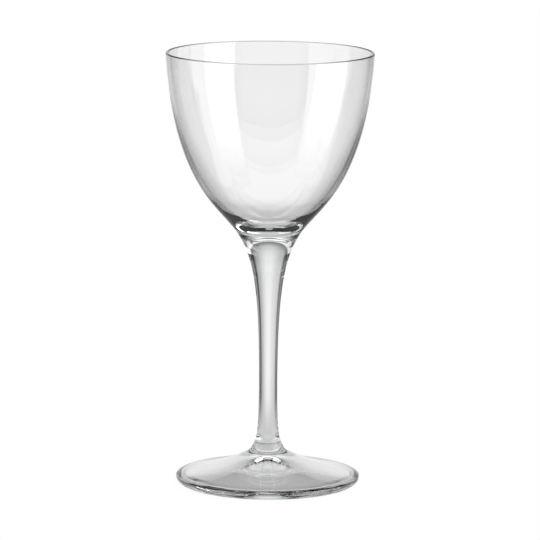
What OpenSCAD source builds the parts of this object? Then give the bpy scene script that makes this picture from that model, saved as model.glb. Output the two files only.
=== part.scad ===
/* [Bowl] */
// Outside diameter at the rim
rim_d = 75; // [64:1:86]
// Height of the bowl, from the edge of its weld up to the rim
bowl_h = 64; // [54:1:74]
// Thickness of the glass at the rim
lip_t = 1.1; // [0.8:0.05:1.5]
// Inside diameter at the seat, where the hollow's side meets its rounded bottom
seat_d = 39.6; // [34:0.1:42]
// Height of the seat above the edge of the weld
seat_h = 11.6; // [9:0.1:14]
// Thickness of the glass on the axis, between the hollow and the weld
base_t = 3.8; // [2.5:0.1:6]
// How far the bowl's rounded base hangs below the edge of its weld
base_drop = 4; // [2:0.1:6]
// Diameter of the weld where the bowl sits in the stem's cup
weld_d = 25; // [20:0.5:29]

/* [Stem] */
// Length from the foot's weld up to the edge of the bowl's weld
stem_l = 79.3; // [60:0.1:95]
// Diameter at the waist, the thinnest place
waist_d = 6.7; // [5:0.1:8]
// Height of the waist above the foot's weld
waist_h = 20.7; // [15:0.1:28]

/* [Foot] */
// Diameter of the foot
foot_d = 66.7; // [56:0.1:78]
// Thickness of the foot at its edge
edge_t = 3.45; // [3:0.05:4.5]
// Width of the rounding on top of the edge
edge_w = 2; // [1.5:0.1:4]
// Rounding where the edge turns under
heel_r = 2.4; // [1:0.1:2.6]
// Width of the flat ring that the foot rests on
ring_w = 1.8; // [1:0.1:5]
// Height, in the middle, of the hollow inside that ring
hollow_h = 6.7; // [2:0.1:8]
// Height of the weld that carries the stem
boss_h = 13.7; // [12:0.1:17]
// Diameter of that weld
boss_d = 10.7; // [9:0.1:14]
// Height of the conical land just under that weld
land_h = 1.5; // [0.5:0.1:2.5]

/* [Hidden] */

// Pale grey soda-lime glass
glass = [0.86, 0.89, 0.88, 0.45];

// Straight pieces in each curve of an outline, and in a full turn
steps = 24;
$fn = 96;

// Radii, and heights above the table
rim_r = rim_d / 2;
weld_r = weld_d / 2;
waist_r = waist_d / 2;
boss_r = boss_d / 2;
foot_r = foot_d / 2;
lip_r = lip_t / 2;
weld_z = boss_h + stem_l;
lip_z = weld_z + bowl_h - lip_r;
cavity_z = weld_z - base_drop + base_t;
seat_r = seat_d / 2;
seat_z = weld_z + seat_h;
waist_z = boss_h + waist_h;
land_z = boss_h - land_h;

// Slopes of the outside at the two welds, as width gained for each unit of height
weld_slope_share = 0.76;
boss_slope_share = 0.5;

// Guides of the bowl's side: in from the rim and down from it, then up from the weld
side_in_share = 0.075;
side_down_share = 0.72;
belly_share = 0.13;

// Guides of the hollow: down from the lip, the slope at the seat, up and down from there, then out
// from the axis
hollow_down_share = 0.49;
seat_slope_share = 0.86;
seat_up_share = 0.15;
seat_down_share = 0.35;
hollow_out_share = 0.45;

// The seat's radius as shares of the rim's and the weld's, and how far the guides of the side and of
// the hollow move out where the seat is wider than that
seat_rim_share = 0.2995;
seat_weld_share = 0.6855;
side_bulge_share = 1.42;
hollow_bulge_share = 0.7;

// Guides of the stem: down from the cup, up and down from the waist, and up from the foot
cup_share = 0.165;
neck_share = 0.6;
shin_share = 0.8;
ankle_share = 0.11;

// Guides of the foot's top: its slope off the land, how far that runs down, and how far the level
// part runs in from the edge and has risen there
flare_slope_share = 1.18;
flare_share = 0.08;
level_share = 0.71;
rise_share = 0.41;

// Guides of the hollow under the foot: in from the resting ring and up there, then out from the axis
dome_in_share = 0.59;
dome_up_share = 0.41;
dome_out_share = 0.13;

// Points of a cubic curve that leaves a towards b and reaches d from c
function curve(a, b, c, d) =
    [for (i = [0:steps]) let (t = i / steps, s = 1 - t)
        s * s * s * a + 3 * s * s * t * b + 3 * s * t * t * c + t * t * t * d];

// Points of an elliptic arc round a centre, from one angle to another
function arc(centre, half_w, half_h, from, to) =
    [for (i = [0:steps]) let (a = from + (to - from) * i / steps)
        centre + [half_w * cos(a), half_h * sin(a)]];

// Points of a round cap from its middle on the axis out to its edge, which the middle lies above
// by rise, or below where that is negative
function cap(edge, rise) =
    let (r = (edge[0] * edge[0] + rise * rise) / (2 * rise), turn = asin(edge[0] / r))
    [for (i = [0:steps]) let (a = turn * i / steps)
        [r * sin(a), edge[1] + rise - r + r * cos(a)]];

// A list of points without its first, for an outline whose last point it repeats
function after(points) = [for (i = [1:len(points) - 1]) points[i]];

// The face that the bowl's base and the stem's cup share, from the axis out
weld_line = cap([weld_r, weld_z], -base_drop);

// The bowl's outside, from the weld up to the lip
side_h = lip_z - weld_z;
seat_growth = seat_r - seat_rim_share * rim_r - seat_weld_share * weld_r;
side_bulge = side_bulge_share * seat_growth;
hollow_bulge = hollow_bulge_share * seat_growth;
side_line = curve(
    [weld_r, weld_z],
    [weld_r + weld_slope_share * belly_share * side_h + side_bulge, weld_z + belly_share * side_h],
    [rim_r - side_in_share * rim_r + side_bulge, lip_z - side_down_share * side_h],
    [rim_r, lip_z]);

// The bowl's inside, from the lip down to the axis
upper_h = lip_z - seat_z;
lower_h = seat_z - cavity_z;
cavity_side = curve(
    [rim_r - lip_t, lip_z],
    [rim_r - lip_t + hollow_bulge, lip_z - hollow_down_share * upper_h],
    [seat_r + seat_slope_share * seat_up_share * upper_h, seat_z + seat_up_share * upper_h],
    [seat_r, seat_z]);
cavity_end = curve(
    [seat_r, seat_z],
    [seat_r - seat_slope_share * seat_down_share * lower_h, seat_z - seat_down_share * lower_h],
    [hollow_out_share * seat_r, cavity_z],
    [0, cavity_z]);

// The stem's outside, from the cup down to the waist and on down to the foot
neck_h = weld_z - waist_z;
neck_line = curve(
    [weld_r, weld_z],
    [weld_r - weld_slope_share * cup_share * neck_h, weld_z - cup_share * neck_h],
    [waist_r, waist_z + neck_share * neck_h],
    [waist_r, waist_z]);
shin_line = curve(
    [waist_r, waist_z],
    [waist_r, waist_z - shin_share * waist_h],
    [boss_r - boss_slope_share * ankle_share * waist_h, boss_h + ankle_share * waist_h],
    [boss_r, boss_h]);

// The foot's top, from the land out to the rounded edge
land_r = boss_r + boss_slope_share * land_h;
level_r = foot_r - edge_w;
flare_h = land_z - edge_t;
flare_line = curve(
    [land_r, land_z],
    [land_r + flare_slope_share * flare_share * flare_h, land_z - flare_share * flare_h],
    [level_r - level_share * (level_r - land_r), edge_t + rise_share * flare_h],
    [level_r, edge_t]);

// Blown bowl with a full round lip and a solid, rounded base
module bowl() {
    lip_line = arc([rim_r - lip_r, lip_z], lip_r, lip_r, 0, 180);
    color(glass)
        rotate_extrude()
            polygon(concat(weld_line, after(side_line), after(lip_line), after(cavity_side),
                after(cavity_end)));
}

// Solid drawn stem with a cup for the bowl's base and a flat lower end
module stem() {
    color(glass)
        rotate_extrude()
            polygon(concat(weld_line, after(neck_line), after(shin_line), [[0, boss_h]]));
}

// Pressed foot with a boss for the stem, a rounded edge and a hollow underneath
module foot() {
    edge_line = arc([level_r, heel_r], edge_w, edge_t - heel_r, 90, 0);
    heel_line = arc([foot_r - heel_r, heel_r], heel_r, heel_r, 0, -90);
    ring_r = foot_r - heel_r - ring_w;
    hollow_line = curve(
        [ring_r, 0],
        [ring_r - dome_in_share * ring_r, dome_up_share * hollow_h],
        [dome_out_share * ring_r, hollow_h],
        [0, hollow_h]);
    color(glass)
        rotate_extrude()
            polygon(concat([[0, boss_h], [boss_r, boss_h]], flare_line, after(edge_line),
                after(heel_line), hollow_line));
}

bowl();
stem();
foot();
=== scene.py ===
from math import asin, cos, pi, radians, sin, tan

import bpy
from mathutils import Matrix, Vector


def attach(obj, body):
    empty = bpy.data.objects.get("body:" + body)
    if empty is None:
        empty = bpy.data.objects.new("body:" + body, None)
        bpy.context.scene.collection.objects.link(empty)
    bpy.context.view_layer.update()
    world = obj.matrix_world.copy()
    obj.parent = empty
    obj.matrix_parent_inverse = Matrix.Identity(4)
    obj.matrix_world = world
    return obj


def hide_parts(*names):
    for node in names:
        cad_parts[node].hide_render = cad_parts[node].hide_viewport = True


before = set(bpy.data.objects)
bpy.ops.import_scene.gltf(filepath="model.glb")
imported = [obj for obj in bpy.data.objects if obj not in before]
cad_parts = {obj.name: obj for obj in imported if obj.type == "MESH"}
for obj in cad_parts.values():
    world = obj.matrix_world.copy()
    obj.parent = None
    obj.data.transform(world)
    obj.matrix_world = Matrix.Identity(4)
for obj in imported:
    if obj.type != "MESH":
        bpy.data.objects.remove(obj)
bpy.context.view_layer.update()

MM = 0.001

# Sizes of the glass in millimetres, as the solids have them
RIM_D = 75
BOWL_H = 64
LIP_T = 1.1
SEAT_D = 39.6
SEAT_H = 11.6
BASE_T = 3.8
BASE_DROP = 4
WELD_D = 25
STEM_L = 79.3
WAIST_D = 6.7
WAIST_H = 20.7
FOOT_D = 66.7
EDGE_T = 3.45
EDGE_W = 2
HEEL_R = 2.4
RING_W = 1.8
HOLLOW_H = 6.7
BOSS_H = 13.7
BOSS_D = 10.7
LAND_H = 1.5

# Outline shares, as the solids have them: slopes at the welds, the bowl's side, its hollow, the
# stem, the foot's top and the hollow under the foot
WELD_SLOPE, BOSS_SLOPE = 0.76, 0.5
SIDE_IN, SIDE_DOWN, BELLY = 0.075, 0.72, 0.13
HOLLOW_DOWN, HOLLOW_UP, SEAT_SLOPE, SEAT_DOWN, HOLLOW_OUT = 0.49, 0.15, 0.86, 0.35, 0.45
CUP, NECK, SHIN, ANKLE = 0.165, 0.6, 0.8, 0.11
FLARE_SLOPE, FLARE, LEVEL, RISE = 1.18, 0.08, 0.71, 0.41
DOME_IN, DOME_UP, DOME_OUT = 0.59, 0.41, 0.13

# Straight pieces in a long curve, in a short one and in a full turn
LONG, SHORT, ROUND = 96, 24, 256
# The welds stay this far apart, so that light leaves one piece before it enters the next
WELD_GAP = 0.02
# Ripple of the pressed foot: its depth near the edge, its length round the foot and its width across
# it; the radius where it starts, the width over which it grows, and the height above the table from
# which it is full
RIPPLE_DEEP, RIPPLE_LONG, RIPPLE_WIDE = 0.14, 7, 0.7
RIPPLE_FROM, RIPPLE_RAMP, RIPPLE_LIFT = 29, 3, 0.6
# The same two lengths as waves in each metre, along X, Y and the way across the foot
GRAIN = (1 / (RIPPLE_LONG * MM), 1 / (RIPPLE_LONG * MM), 1 / (RIPPLE_WIDE * MM))
# Points of a skin closer than this are one
MERGE = 0.001
# An edge or a face has a mark where the mean of its corners is above this, so where all have it
ALL_OF_IT = 0.99

RIM_R, WELD_R, WAIST_R, BOSS_R, FOOT_R, LIP_R, SEAT_R = (
    d / 2 for d in (RIM_D, WELD_D, WAIST_D, BOSS_D, FOOT_D, LIP_T, SEAT_D))
WELD_Z = BOSS_H + STEM_L
LIP_Z = WELD_Z + BOWL_H - LIP_R
SEAT_Z = WELD_Z + SEAT_H
CAVITY_Z = WELD_Z - BASE_DROP + BASE_T
WAIST_Z = BOSS_H + WAIST_H
LAND_Z = BOSS_H - LAND_H


def curve(a, b, c, d, steps):
    """Points of a cubic curve that leaves a towards b and reaches d from c."""
    a, b, c, d = (Vector(p) for p in (a, b, c, d))
    pairs = [(i / steps, 1 - i / steps) for i in range(steps + 1)]
    return [s * s * s * a + 3 * s * s * t * b + 3 * s * t * t * c + t * t * t * d for t, s in pairs]


def line(a, b, steps):
    """Points of a straight stretch."""
    return [Vector(a).lerp(Vector(b), i / steps) for i in range(steps + 1)]


def arc(centre, half_w, half_h, start, end, steps):
    """Points of an elliptic arc round a centre, between two angles in degrees."""
    angles = [radians(start + (end - start) * i / steps) for i in range(steps + 1)]
    return [Vector((centre[0] + half_w * cos(a), centre[1] + half_h * sin(a))) for a in angles]


def cap(edge, rise, steps):
    """Points of a round cap from its middle on the axis out to its edge."""
    r = (edge[0] ** 2 + rise ** 2) / (2 * rise)
    turn = asin(edge[0] / r)
    angles = [turn * i / steps for i in range(steps + 1)]
    return [Vector((r * sin(a), edge[1] + rise - r + r * cos(a))) for a in angles]


def bowl_outline():
    """The bowl's outline, the numbers of its sharp points and of its weld, and the ripple's depths."""
    side_h = LIP_Z - WELD_Z
    upper_h, lower_h = LIP_Z - SEAT_Z, SEAT_Z - CAVITY_Z
    base = cap((WELD_R, WELD_Z), -BASE_DROP, SHORT)
    side = curve((WELD_R, WELD_Z), (WELD_R + WELD_SLOPE * BELLY * side_h, WELD_Z + BELLY * side_h),
                 (RIM_R - SIDE_IN * RIM_R, LIP_Z - SIDE_DOWN * side_h), (RIM_R, LIP_Z), LONG)
    lip = arc((RIM_R - LIP_R, LIP_Z), LIP_R, LIP_R, 0, 180, SHORT)
    hollow = curve((RIM_R - LIP_T, LIP_Z), (RIM_R - LIP_T, LIP_Z - HOLLOW_DOWN * upper_h),
                   (SEAT_R + SEAT_SLOPE * HOLLOW_UP * upper_h, SEAT_Z + HOLLOW_UP * upper_h),
                   (SEAT_R, SEAT_Z), LONG)
    hollow += curve((SEAT_R, SEAT_Z),
                    (SEAT_R - SEAT_SLOPE * SEAT_DOWN * lower_h, SEAT_Z - SEAT_DOWN * lower_h),
                    (HOLLOW_OUT * SEAT_R, CAVITY_Z), (0, CAVITY_Z), LONG)[1:]
    points = base + side[1:] + lip[1:] + hollow[1:]
    return points, {len(base) - 1}, set(range(len(base))), {}


def stem_outline():
    """The stem's outline, as for the bowl."""
    top = Vector((0, -WELD_GAP))
    neck_h = WELD_Z - WAIST_Z
    cup = [p + top for p in cap((WELD_R, WELD_Z), -BASE_DROP, SHORT)]
    neck = curve((WELD_R, WELD_Z - WELD_GAP), (WELD_R - WELD_SLOPE * CUP * neck_h, WELD_Z - CUP * neck_h),
                 (WAIST_R, WAIST_Z + NECK * neck_h), (WAIST_R, WAIST_Z), LONG)
    shin = curve((WAIST_R, WAIST_Z), (WAIST_R, WAIST_Z - SHIN * WAIST_H),
                 (BOSS_R - BOSS_SLOPE * ANKLE * WAIST_H, BOSS_H + ANKLE * WAIST_H),
                 (BOSS_R, BOSS_H + WELD_GAP), LONG)
    points = cup + neck[1:] + shin[1:] + [Vector((0, BOSS_H + WELD_GAP))]
    cup_edge = len(points) - len(cup)
    return points[::-1], {cup_edge, 1}, {0, 1} | set(range(cup_edge, len(points))), {}


def foot_outline():
    """The foot's outline, as for the bowl. It is rippled towards its edge."""
    land_r = BOSS_R + BOSS_SLOPE * LAND_H
    level_r = FOOT_R - EDGE_W
    flare_h = LAND_Z - EDGE_T
    inner_r = FOOT_R - HEEL_R - RING_W
    land = line((BOSS_R, BOSS_H), (land_r, LAND_Z), SHORT)
    flare = curve((land_r, LAND_Z), (land_r + FLARE_SLOPE * FLARE * flare_h, LAND_Z - FLARE * flare_h),
                  (level_r - LEVEL * (level_r - land_r), EDGE_T + RISE * flare_h),
                  (level_r, EDGE_T), LONG)
    edge = arc((level_r, HEEL_R), EDGE_W, EDGE_T - HEEL_R, 90, 0, SHORT)
    heel = arc((FOOT_R - HEEL_R, HEEL_R), HEEL_R, HEEL_R, 0, -90, SHORT)
    ring = line((FOOT_R - HEEL_R, 0), (inner_r, 0), SHORT)
    hollow = curve((inner_r, 0), (inner_r - DOME_IN * inner_r, DOME_UP * HOLLOW_H),
                   (DOME_OUT * inner_r, HOLLOW_H), (0, HOLLOW_H), LONG)
    points = [Vector((0, BOSS_H))] + land + flare[1:] + edge[1:] + heel[1:] + ring[1:] + hollow[1:]
    last = len(points) - 1
    ripple = {}
    for i, p in enumerate(points):
        outward = min(1, max(0, p.x - RIPPLE_FROM) / RIPPLE_RAMP)
        ripple[last - i] = RIPPLE_DEEP * outward * min(1, p.y / RIPPLE_LIFT)
    return points[::-1], {last - 1, last - SHORT - 1, LONG}, {last, last - 1}, ripple


def add(tree, kind, settings=None, inputs=None):
    """Adds a node with its settings, and sets or links its inputs. A node links by its first output."""
    node = tree.nodes.new(kind)
    for name, value in (settings or {}).items():
        setattr(node, name, value)
    for name, value in (inputs or {}).items():
        socket = node.inputs[name]
        if isinstance(value, bpy.types.Node):
            value = value.outputs[0]
        if isinstance(value, bpy.types.NodeSocket):
            tree.links.new(value, socket)
        else:
            socket.default_value = value
    return node


def lathe_tree():
    """A tree that turns an outline round the Z axis into a closed, smooth skin, with its ripple."""
    tree = bpy.data.node_groups.new("lathe", "GeometryNodeTree")
    face = tree.interface
    face.new_socket("Outline", in_out="INPUT", socket_type="NodeSocketGeometry")
    for name, kind in (("Steps round", "NodeSocketInt"), ("Merge distance", "NodeSocketFloat"),
                       ("Ripple grain", "NodeSocketVector"), ("Glass", "NodeSocketMaterial")):
        face.new_socket(name, in_out="INPUT", socket_type=kind)
    face.new_socket("Skin", in_out="OUTPUT", socket_type="NodeSocketGeometry")
    ends = add(tree, "NodeGroupInput").outputs
    count = add(tree, "GeometryNodeAttributeDomainSize", {"component": "MESH"}, {0: ends["Outline"]})
    columns = add(tree, "FunctionNodeIntegerMath", {"operation": "ADD"}, {0: ends["Steps round"], 1: 1})
    grid = add(tree, "GeometryNodeMeshGrid", {},
               {"Vertices X": count.outputs["Point Count"], "Vertices Y": columns})
    index = add(tree, "GeometryNodeInputIndex")
    along = add(tree, "FunctionNodeIntegerMath", {"operation": "DIVIDE_FLOOR"}, {0: index, 1: columns})
    across = add(tree, "FunctionNodeIntegerMath", {"operation": "MODULO"}, {0: index, 1: columns})
    share = add(tree, "ShaderNodeMath", {"operation": "DIVIDE"}, {0: across, 1: ends["Steps round"]})
    angle = add(tree, "ShaderNodeMath", {"operation": "MULTIPLY"}, {0: share, 1: 2 * pi})
    spot = add(tree, "GeometryNodeInputPosition")
    place = add(tree, "GeometryNodeSampleIndex", {"data_type": "FLOAT_VECTOR"},
                {"Geometry": ends["Outline"], "Value": spot, "Index": along})
    turned = add(tree, "ShaderNodeVectorRotate", {"rotation_type": "Z_AXIS"},
                 {"Vector": place, "Angle": angle})
    skin = grid.outputs["Mesh"]
    marks = {}
    for name in ("weld", "crease", "ripple"):
        marks[name] = add(tree, "GeometryNodeInputNamedAttribute", {"data_type": "FLOAT"}, {"Name": name})
        value = add(tree, "GeometryNodeSampleIndex", {"data_type": "FLOAT"},
                    {"Geometry": ends["Outline"], "Value": marks[name], "Index": along})
        skin = add(tree, "GeometryNodeStoreNamedAttribute", {"data_type": "FLOAT", "domain": "POINT"},
                   {"Geometry": skin, "Name": name, "Value": value})
    skin = add(tree, "GeometryNodeSetPosition", {}, {"Geometry": skin, "Position": turned})
    skin = add(tree, "GeometryNodeMergeByDistance", {},
               {"Geometry": skin, "Distance": ends["Merge distance"]})
    skin = add(tree, "GeometryNodeFlipFaces", {}, {"Mesh": skin})
    # The ripple only takes glass away, so that no piece grows
    flat = add(tree, "ShaderNodeVectorMath", {"operation": "MULTIPLY"}, {0: spot, 1: (1, 1, 0)})
    r = add(tree, "ShaderNodeVectorMath", {"operation": "LENGTH"}, {0: flat}).outputs["Value"]
    inner = add(tree, "ShaderNodeCombineXYZ", {}, {"Z": r})
    across = add(tree, "ShaderNodeVectorMath", {"operation": "SUBTRACT"}, {0: spot, 1: inner})
    grain = add(tree, "ShaderNodeVectorMath", {"operation": "MULTIPLY"},
                {0: across, 1: ends["Ripple grain"]})
    waves = add(tree, "ShaderNodeTexNoise", {}, {"Vector": grain, "Scale": 1.0, "Detail": 1.0})
    depth = add(tree, "ShaderNodeMath", {"operation": "MULTIPLY"}, {0: waves, 1: marks["ripple"]})
    inward = add(tree, "ShaderNodeMath", {"operation": "MULTIPLY"}, {0: depth, 1: -1.0})
    normal = add(tree, "GeometryNodeInputNormal")
    shift = add(tree, "ShaderNodeVectorMath", {"operation": "SCALE"}, {0: normal, "Scale": inward})
    skin = add(tree, "GeometryNodeSetPosition", {}, {"Geometry": skin, "Offset": shift})
    skin = add(tree, "GeometryNodeSetShadeSmooth", {}, {"Geometry": skin, "Shade Smooth": True})
    sharp, fused = (add(tree, "FunctionNodeCompare", {"operation": "GREATER_THAN", "data_type": "FLOAT"},
                        {"A": marks[name], "B": ALL_OF_IT}) for name in ("crease", "weld"))
    skin = add(tree, "GeometryNodeStoreNamedAttribute", {"data_type": "BOOLEAN", "domain": "EDGE"},
               {"Geometry": skin, "Name": "sharp_edge", "Value": sharp})
    skin = add(tree, "GeometryNodeStoreNamedAttribute", {"data_type": "FLOAT", "domain": "FACE"},
               {"Geometry": skin, "Name": "fused", "Value": fused})
    skin = add(tree, "GeometryNodeRealizeInstances", {}, {"Geometry": skin})
    skin = add(tree, "GeometryNodeSetMaterial", {}, {"Geometry": skin, "Material": ends["Glass"]})
    add(tree, "NodeGroupOutput", {}, {"Skin": skin})
    return tree


def turn(name, outline, tree, glass):
    """Turns an outline into one piece, and puts it in its CAD node's place."""
    points, creases, welds, ripple = outline
    mesh = bpy.data.meshes.new(name + "_outline")
    edges = [(i, i + 1) for i in range(len(points) - 1)]
    mesh.from_pydata([(p.x * MM, 0, p.y * MM) for p in points], edges, [])
    for mark, level in (("crease", {i: 1 for i in creases}), ("weld", {i: 1 for i in welds}),
                        ("ripple", {i: deep * MM for i, deep in ripple.items()})):
        values = mesh.attributes.new(mark, "FLOAT", "POINT").data
        values.foreach_set("value", [float(level.get(i, 0)) for i in range(len(points))])
    source = bpy.data.objects.new(name + "_outline", mesh)
    bpy.context.scene.collection.objects.link(source)
    modifier = source.modifiers.new("lathe", "NODES")
    modifier.node_group = tree
    names = {s.name: s.identifier for s in tree.interface.items_tree if s.in_out == "INPUT"}
    for key, value in (("Steps round", ROUND), ("Merge distance", MERGE * MM), ("Ripple grain", GRAIN),
                       ("Glass", glass)):
        modifier[names[key]] = value
    made = bpy.data.meshes.new_from_object(source.evaluated_get(bpy.context.evaluated_depsgraph_get()))
    # The grid that the skin is made from brings an empty slot, which comes before the glass
    made.materials.pop(index=0)
    bpy.data.objects.remove(source)
    piece = bpy.data.objects.new(name + "_skin", made)
    bpy.context.scene.collection.objects.link(piece)
    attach(piece, "root")
    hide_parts(name)
    return piece


def linear(text):
    """The linear colour of an sRGB hex value."""
    parts = [int(text[i:i + 2], 16) / 255 for i in (1, 3, 5)]
    return [c / 12.92 if c <= 0.04045 else ((c + 0.055) / 1.055) ** 2.4 for c in parts] + [1]


# Soda-lime glass, blown or pressed and then fire-polished: a faint cool grey cast that shows only
# where the glass is thick, and shallow waves that bend light a little
WHITE = "#ffffff"
TINT = "#e8ecec"
TINT_DENSITY = 16
GLASS_IOR = 1.5
WAVE_LONG, WAVE_DEEP = 9, 0.004


def new_material(name):
    """An empty node material and its tree."""
    material = bpy.data.materials.new(name)
    material.use_nodes = True
    material.node_tree.nodes.clear()
    return material, material.node_tree


def glass_material(name):
    """Clear, smooth glass with a faint cast in its depth. A weld's faces let light straight through."""
    material, tree = new_material(name)
    spot = add(tree, "ShaderNodeTexCoord").outputs["Object"]
    waves = add(tree, "ShaderNodeTexNoise", {},
                {"Vector": spot, "Scale": 1 / (WAVE_LONG * MM), "Detail": 0.0})
    bump = add(tree, "ShaderNodeBump", {}, {"Strength": 1.0, "Distance": WAVE_DEEP * MM, "Height": waves})
    shader = add(tree, "ShaderNodeBsdfPrincipled", {}, {"Base Color": linear(WHITE), "Roughness": 0.0,
                 "IOR": GLASS_IOR, "Transmission Weight": 1.0, "Normal": bump})
    fused = add(tree, "ShaderNodeAttribute", {"attribute_name": "fused"}).outputs["Fac"]
    through = add(tree, "ShaderNodeBsdfTransparent")
    skin = add(tree, "ShaderNodeMixShader", {}, {0: fused, 1: shader, 2: through})
    depth = add(tree, "ShaderNodeVolumeAbsorption", {}, {"Color": linear(TINT), "Density": TINT_DENSITY})
    add(tree, "ShaderNodeOutputMaterial", {}, {"Surface": skin, "Volume": depth})
    return material


# The photograph's camera: focal length and image in pixels, place in millimetres, pitch and roll in
# degrees, the sensor's width in millimetres, and the nearest and farthest sight in metres
FOCAL_PX, IMAGE_PX = 4212, 540
CAMERA_BACK, CAMERA_UP, CAMERA_SIDE = 1500, 329, 0.41
PITCH, ROLL = 9.5025, 0.375
SENSOR = 36
CLIP_NEAR, CLIP_FAR = 0.05, 50


def make_camera():
    """The camera of the photograph."""
    data = bpy.data.cameras.new("camera")
    data.sensor_width = SENSOR
    data.lens = SENSOR * FOCAL_PX / IMAGE_PX
    data.clip_start, data.clip_end = CLIP_NEAR, CLIP_FAR
    camera = bpy.data.objects.new("camera", data)
    camera.location = (CAMERA_SIDE * MM, -CAMERA_BACK * MM, CAMERA_UP * MM)
    tilt = Matrix.Rotation(radians(90 - PITCH), 4, "X")
    camera.rotation_euler = (tilt @ Matrix.Rotation(radians(ROLL), 4, "Z")).to_euler()
    bpy.context.scene.collection.objects.link(camera)
    bpy.context.scene.camera = camera
    return camera


# Studio lights, in metres and degrees as the camera sees them, from the middle of the glass: X to
# the right, Y up, Z towards the camera. A level of 1 is white. The lights ride on the camera, so
# that the glass has the same surround from each side that it is looked at from.
# How far from the camera the middle of the glass is
GLASS_AWAY = 1.521
# Level of the dark room round the lights
ROOM = 0.06
# Radii of the curved sheets behind and above the glass, and the straight pieces in each
BACK_R, TOP_R = 1.5, 1.0
SHEET_STEPS = 24
# The backdrop's level at angles above the horizontal, and at angles from the left to the right
BACK_UP = ((-90, 1.7), (-75, 1.33), (-60, 0.64), (-45, 0.45), (-32, 0.58), (-22, 0.62), (-12, 0.97),
           (-4, 0.95), (5, 0.91), (12, 0.88), (18, 0.77), (24, 0.65), (30, 0.38), (36, 0.1), (42, 0))
BACK_SIDE = ((-75, 0), (-60, 0.17), (-48, 0.3), (-38, 0.16), (-30, 0.65), (-22, 0.68), (-14, 0.8),
             (-5, 0.98), (5, 0.98), (14, 0.8), (22, 0.55), (30, 0.44), (38, 0.01), (48, 0.35), (60, 0.38),
             (75, 0.28))
# The same for the box above
TOP_UP = ((42, 0), (46, 0.71), (50, 0.9), (54, 1.45), (58, 1.84), (62, 1.38), (66, 0), (72, 0),
          (80, 1.35), (90, 0))
TOP_SIDE = ((-45, 0), (-35, 0.6), (-25, 1), (-15, 1.4), (0, 1.2), (15, 1.4), (25, 0.6), (35, 0), (45, 0))
# The tall box near the glass on its right, which both stripes on the bowl come from: its two ends
# seen from above as X and Z, and its level at heights
BOX_NEAR, BOX_FAR = (0.106, 0.114), (0.198, 0.019)
BOX_UP = ((-0.17, 0), (-0.15, 0.8), (-0.11, 1.3), (-0.05, 1.8), (0, 2.6), (0.04, 3), (0.1, 2.8),
          (0.13, 1.8), (0.17, 0.9), (0.22, 0))
# Flat sheets: both ends seen from above as X and Z, the lower and the upper height, and the level
LEFT_BOX, LEFT_LEVEL = ((-1.4, -0.35), (-1.4, 0.35), 0.1, 0.8), 1.2
RIGHT_FILL, RIGHT_LEVEL = ((1.2, -0.75), (1.4, -0.3), 0.1, 0.7), 0.31
FRONT_FILL, FRONT_LEVEL = ((-2, 2), (2, 2), -2, 2), 0.45
# How a level rises and falls across a light, softly or with a crisp edge
SOFT = ((0, 0), (0.2, 1), (0.8, 1), (1, 0))
CRISP = ((0, 0), (0.02, 1), (0.98, 1), (1, 0))


def soft_light(name, rows, across, along, camera):
    """A soft light from two rows of points, its level graded across and along."""
    steps = len(rows[0]) - 1
    data = bpy.data.meshes.new(name)
    points = [(x, y, z - GLASS_AWAY) for row in rows for x, y, z in row]
    data.from_pydata(points, [], [(i, i + 1, i + steps + 2, i + steps + 1) for i in range(steps)])
    corners = data.uv_layers.new(name="spread").data
    for face in data.polygons:
        for corner, (u, v) in zip(face.loop_indices, ((0, 0), (0, 1), (1, 1), (1, 0))):
            corners[corner].uv = (u, (face.index + v) / steps)
    # Diffuser cloth lit from behind: gives the eye soft stripes and bands in the glass
    material, tree = new_material(name + "_cloth")
    spot = add(tree, "ShaderNodeUVMap", {"uv_map": "spread"})
    u, v = add(tree, "ShaderNodeSeparateXYZ", {}, {0: spot}).outputs[:2]
    grades = []
    for share, stops in ((u, across), (v, along)):
        grade = add(tree, "ShaderNodeValToRGB", {}, {0: share})
        elements = grade.color_ramp.elements
        for at, level in stops[1:-1]:
            elements.new(at)
        for element, (at, level) in zip(elements, stops):
            element.position = at
            element.color = (level, level, level, 1)
        grades.append(grade)
    shade = add(tree, "ShaderNodeMath", {"operation": "MULTIPLY"}, {0: grades[0], 1: grades[1]})
    glow = add(tree, "ShaderNodeEmission", {}, {"Color": linear(WHITE), "Strength": shade})
    add(tree, "ShaderNodeOutputMaterial", {}, {"Surface": glow})
    data.materials.append(material)
    lamp = bpy.data.objects.new(name, data)
    lamp.parent = camera
    # The camera sees past it, and it throws no shadow
    lamp.visible_camera = False
    lamp.visible_shadow = False
    bpy.context.scene.collection.objects.link(lamp)
    return lamp


def sweep(half, r, low, high):
    """Two rows of points of a sheet that curves round behind and over the glass, between two angles."""
    angles = [radians(low + PITCH + (high - low) * i / SHEET_STEPS) for i in range(SHEET_STEPS + 1)]
    return [[(x, r * sin(a), -r * cos(a)) for a in angles] for x in (-half, half)]


def upright(start, end, low, high):
    """Two rows of points of a flat sheet that stands on a line from start to end."""
    return [[(x, low, z), (x, high, z)] for x, z in (start, end)]


def shares(stops, place=float):
    """Stops with their places, worked out by a function, turned into shares from 0 to 1."""
    at = [place(stop[0]) for stop in stops]
    return [((p - at[0]) / (at[-1] - at[0]), stop[1]) for p, stop in zip(at, stops)]


def graded(stops, level):
    """Stops with their levels multiplied."""
    return [(at, level * share) for at, share in stops]


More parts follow.
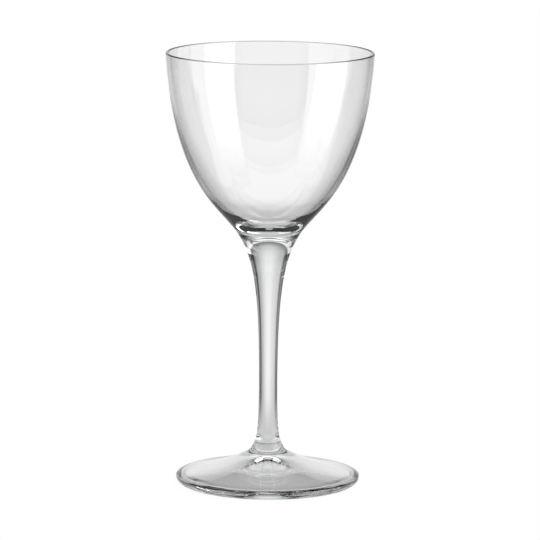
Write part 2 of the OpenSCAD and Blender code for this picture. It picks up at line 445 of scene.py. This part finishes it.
def make_lights(camera):
    """The backdrop, the boxes above, on the right and on the left, and two faint fills."""
    for name, r, side, up in (("back_sweep", BACK_R, BACK_SIDE, BACK_UP),
                              ("top_box", TOP_R, TOP_SIDE, TOP_UP)):
        # Angles to the side become distances across the sheet
        half = r * tan(radians(side[-1][0]))
        across = shares(side, lambda angle: tan(radians(angle)))
        soft_light(name, sweep(half, r, up[0][0], up[-1][0]), across, shares(up), camera)
    soft_light("right_box", upright(BOX_NEAR, BOX_FAR, BOX_UP[0][0], BOX_UP[-1][0]), CRISP,
               shares(BOX_UP), camera)
    for name, place, level in (("left_box", LEFT_BOX, LEFT_LEVEL),
                               ("right_fill", RIGHT_FILL, RIGHT_LEVEL),
                               ("front_fill", FRONT_FILL, FRONT_LEVEL)):
        soft_light(name, upright(*place), SOFT, graded(SOFT, level), camera)


def seen_white(tree, in_glass):
    """1 for the camera's rays, in_glass for those that glass reflects or lets through, and else 0."""
    path = add(tree, "ShaderNodeLightPath").outputs
    level = path["Is Camera Ray"]
    for kind in ("Is Glossy Ray", "Is Transmission Ray"):
        share = add(tree, "ShaderNodeMath", {"operation": "MULTIPLY"}, {0: path[kind], 1: in_glass})
        level = add(tree, "ShaderNodeMath", {"operation": "MAXIMUM"}, {0: level, 1: share})
    return level


def make_world():
    """A room that is white to the camera and in and through glass, and dark to all other rays."""
    world = bpy.data.worlds.new("studio")
    world.use_nodes = True
    tree = world.node_tree
    tree.nodes.clear()
    dark = add(tree, "ShaderNodeBackground", {}, {"Color": linear(WHITE), "Strength": ROOM})
    white = add(tree, "ShaderNodeBackground", {}, {"Color": linear(WHITE), "Strength": 1.0})
    mixed = add(tree, "ShaderNodeMixShader", {}, {0: seen_white(tree, 1.0), 1: dark, 2: white})
    add(tree, "ShaderNodeOutputWorld", {}, {"Surface": mixed})
    bpy.context.scene.world = world


# The white table, in millimetres: its size and corners; its level through glass, and where it starts
# to fade out there towards its rim; and how wide and how deep the painted soft shade is where the foot
# stands
FLOOR_D, FLOOR_ROUND = 300, 96
FLOOR_IN_GLASS, FADE_FROM = 0.62, 40
PAINTED_SHADE_WIDE, PAINTED_SHADE_DEEP = 4, 0.03


def make_floor():
    """A plain white table with a faint soft shade painted round the foot. Seen from below, it isn't
    there.
    """
    data = bpy.data.meshes.new("floor")
    turns = [2 * pi * i / FLOOR_ROUND for i in range(FLOOR_ROUND)]
    r = FLOOR_D / 2 * MM
    data.from_pydata([(r * cos(a), r * sin(a), 0) for a in turns], [], [range(FLOOR_ROUND)])
    # White acrylic: gives the eye the photograph's even white background
    material, tree = new_material("white_acrylic")
    below = add(tree, "ShaderNodeNewGeometry").outputs["Backfacing"]
    # Painted shade: the glow is darkened a little where the foot is close, in place of a cast shadow
    near = add(tree, "ShaderNodeAmbientOcclusion", {}, {"Distance": PAINTED_SHADE_WIDE * MM}).outputs["AO"]
    shade = add(tree, "ShaderNodeMapRange", {}, {"Value": near, "To Min": 1 - PAINTED_SHADE_DEEP, "To Max": 1.0})
    level = add(tree, "ShaderNodeMath", {"operation": "MULTIPLY"},
                {0: shade, 1: seen_white(tree, FLOOR_IN_GLASS)})
    glow = add(tree, "ShaderNodeEmission", {}, {"Color": linear(WHITE), "Strength": level})
    clear = add(tree, "ShaderNodeBsdfTransparent")
    spot = add(tree, "ShaderNodeTexCoord").outputs["Object"]
    away = add(tree, "ShaderNodeVectorMath", {"operation": "LENGTH"}, {0: spot}).outputs["Value"]
    rim = add(tree, "ShaderNodeMapRange", {}, {"Value": away, "From Min": FADE_FROM * MM, "From Max": r})
    eye = add(tree, "ShaderNodeLightPath").outputs["Is Camera Ray"]
    faded = add(tree, "ShaderNodeMath", {"operation": "SUBTRACT", "use_clamp": True}, {0: rim, 1: eye})
    hidden = add(tree, "ShaderNodeMath", {"operation": "MAXIMUM"}, {0: faded, 1: below})
    both = add(tree, "ShaderNodeMixShader", {}, {0: hidden, 1: glow, 2: clear})
    add(tree, "ShaderNodeOutputMaterial", {}, {"Surface": both})
    data.materials.append(material)
    floor = bpy.data.objects.new("floor", data)
    bpy.context.scene.collection.objects.link(floor)


lathe = lathe_tree()
soda_lime = glass_material("soda_lime_glass")
for name, outline in (("bowl", bowl_outline()), ("stem", stem_outline()), ("foot", foot_outline())):
    turn(name, outline, lathe, soda_lime)
make_lights(make_camera())
make_world()
make_floor()
bpy.context.scene.view_settings.view_transform = "Standard"
